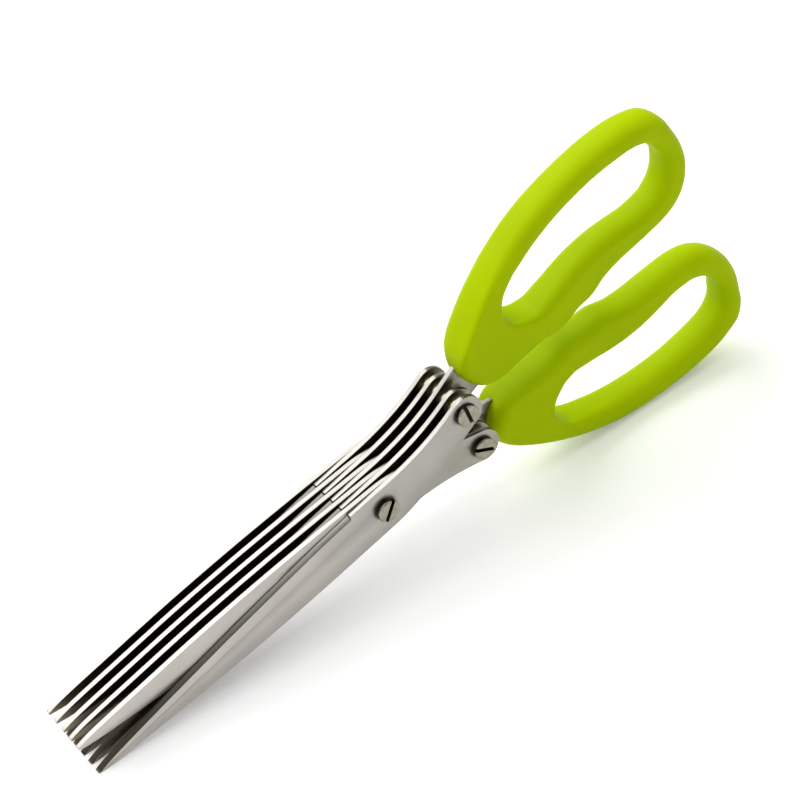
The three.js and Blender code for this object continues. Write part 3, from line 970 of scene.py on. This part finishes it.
# Where each softbox stands, how far away, how wide and high, how bright its face is, and
# whether metal shows it
softboxes = [
    ("backSoftbox", (-0.08, 0.74, 0.64), 1.5, 1.7, 1.1, 2.0, True),
    ("backFill", (-0.08, 0.74, 0.64), 1.6, 1.81, 1.17, 1.0, False),
    ("topSoftbox", (-0.25, 0.3, 0.92), 1.6, 0.9, 0.9, 1.9, True),
    ("overheadSoftbox", (0.0, 0.0, 1.0), 1.5, 1.0, 1.0, 1.6, False),
    ("frontSoftbox", (0.0, -0.574, 0.819), 1.5, 1.0, 1.0, 1.0, False),
    ("frontLowSoftbox", (-0.35, -0.86, 0.37), 1.5, 1.4, 1.0, 0.5, False),
    ("rightSoftbox", (0.574, 0.0, 0.819), 1.5, 1.0, 1.0, 1.3, False),
]
# Dark cards that only metal and gloss show: where, how far away, how wide and high
darkCards = [
    ("frontCard", (-0.12, -0.8, 0.59), 1.1, 1.9, 1.3),
    ("rightCard", (0.865, 0.216, 0.454), 1.1, 1.9, 1.3),
]


# One where the camera, metal or clear things look straight at a surface
def seenDirectly(nodes, links):
    path = nodes.new("ShaderNodeLightPath")
    first = nodes.new("ShaderNodeMath")
    first.operation = "MAXIMUM"
    links.new(path.outputs["Is Camera Ray"], first.inputs[0])
    links.new(path.outputs["Is Glossy Ray"], first.inputs[1])
    both = nodes.new("ShaderNodeMath")
    both.operation = "MAXIMUM"
    links.new(first.outputs["Value"], both.inputs[0])
    links.new(path.outputs["Is Transmission Ray"], both.inputs[1])
    return both.outputs["Value"]


def makeFloor():
    nothingPicked()
    bpy.ops.mesh.primitive_plane_add(size=studio["floorSize"],
                                     location=(0, 0, -studio["floorDrop"]))
    floor = startPiece("table_top")
    material, skin = newMaterial("tableWhite")
    nodes, links = material.node_tree.nodes, material.node_tree.links
    fleck = noiseOn(material, objectSpace(material), *studio["fleck"])
    light = studio["floorColour"]
    shade = tuple(studio["fleckShade"] * c for c in light)
    links.new(shadesOf(material, fleck, shade, light), skin.inputs["Base Color"])
    skin.inputs["Roughness"].default_value = studio["floorRough"]
    skin.inputs["Specular IOR Level"].default_value = studio["floorGloss"]
    # what the camera, metal and gloss see of the table is lifted to a white background, and
    # more so far out, where the lamps fade
    glow = nodes.new("ShaderNodeEmission")
    away = nodes.new("ShaderNodeVectorMath")
    away.operation = "LENGTH"
    links.new(objectSpace(material), away.inputs[0])
    links.new(rangeOf(material, away.outputs["Value"], *studio["floorSeen"], *studio["floorFar"]),
              glow.inputs["Strength"])
    dark = nodes.new("ShaderNodeEmission")
    dark.inputs["Strength"].default_value = 0
    choose = nodes.new("ShaderNodeMixShader")
    links.new(seenDirectly(nodes, links), choose.inputs["Fac"])
    links.new(dark.outputs["Emission"], choose.inputs[1])
    links.new(glow.outputs["Emission"], choose.inputs[2])
    both = nodes.new("ShaderNodeAddShader")
    links.new(skin.outputs["BSDF"], both.inputs[0])
    links.new(choose.outputs["Shader"], both.inputs[1])
    out = next(node for node in nodes if node.type == "OUTPUT_MATERIAL")
    links.new(both.outputs["Shader"], out.inputs["Surface"])
    floor.data.materials.append(material)


def makeSky():
    world = bpy.data.worlds.new("studioSky")
    bpy.context.scene.world = world
    world.use_nodes = True
    nodes, links = world.node_tree.nodes, world.node_tree.links
    nodes.clear()
    out = nodes.new("ShaderNodeOutputWorld")
    sky = nodes.new("ShaderNodeBackground")
    # brighter overhead than round the sides
    source = nodes.new("ShaderNodeTexCoord")
    split = nodes.new("ShaderNodeSeparateXYZ")
    links.new(source.outputs["Generated"], split.inputs["Vector"])
    levels = [(height, 3 * (level,)) for height, level in studio["skyLevels"]]
    links.new(rampOf(world, split.outputs["Z"], levels), sky.inputs["Color"])
    seen = nodes.new("ShaderNodeBackground")
    seen.inputs["Strength"].default_value = 1
    mix = nodes.new("ShaderNodeMixShader")
    links.new(seenDirectly(nodes, links), mix.inputs["Fac"])
    links.new(sky.outputs["Background"], mix.inputs[1])
    links.new(seen.outputs["Background"], mix.inputs[2])
    links.new(mix.outputs["Shader"], out.inputs["Surface"])


def makeSoftbox(name, comesFrom, away, width, height, radiance, inMetal):
    lamp = bpy.data.lights.new(name, "AREA")
    lamp.shape = "RECTANGLE"
    lamp.size = width
    lamp.size_y = height
    lamp.energy = radiance * math.pi * width * height
    holder = bpy.data.objects.new(name, lamp)
    bpy.context.scene.collection.objects.link(holder)
    back = Vector(comesFrom).normalized()
    holder.location = back * away
    holder.rotation_euler = back.to_track_quat("Z", "Y").to_euler()
    holder.visible_glossy = inMetal


def makeDarkCard(name, comesFrom, away, width, height):
    back = Vector(comesFrom).normalized()
    nothingPicked()
    bpy.ops.mesh.primitive_plane_add(size=1, location=back * away,
                                     rotation=back.to_track_quat("Z", "Y").to_euler(),
                                     scale=(width, height, 1))
    card = startPiece(name)
    material, skin = newMaterial(name + "Felt")
    tone = shadesOf(material, noiseOn(material, objectSpace(material), *studio["cardCloud"]),
                    studio["cardDark"], studio["cardLight"])
    skin.inputs["Base Color"].default_value = (0, 0, 0, 1)
    skin.inputs["Specular IOR Level"].default_value = 0
    skin.inputs["Emission Strength"].default_value = 1
    material.node_tree.links.new(tone, skin.inputs["Emission Color"])
    card.data.materials.append(material)
    card.visible_camera = False
    card.visible_diffuse = False
    card.visible_transmission = False
    card.visible_volume_scatter = False
    card.visible_shadow = False


view = {
    "place": (-0.1714332, -0.3997955, 0.4018244),
    "turn": (49.1696, 12.2587, -34.0056),
    "lens": 115.287,
    "sensor": 36,
    "clip": (0.01, 20),
}


def makeCamera():
    camera = bpy.data.cameras.new("photoView")
    camera.lens = view["lens"]
    camera.sensor_width = view["sensor"]
    camera.clip_start, camera.clip_end = view["clip"]
    holder = bpy.data.objects.new("photoView", camera)
    bpy.context.scene.collection.objects.link(holder)
    holder.location = view["place"]
    holder.rotation_euler = [math.radians(a) for a in view["turn"]]
    bpy.context.scene.camera = holder


makeFloor()
makeSky()
for row in softboxes:
    makeSoftbox(*row)
for row in darkCards:
    makeDarkCard(*row)
makeCamera()
bpy.context.scene.view_settings.view_transform = "Standard"
print("studio made")

nothingPicked()
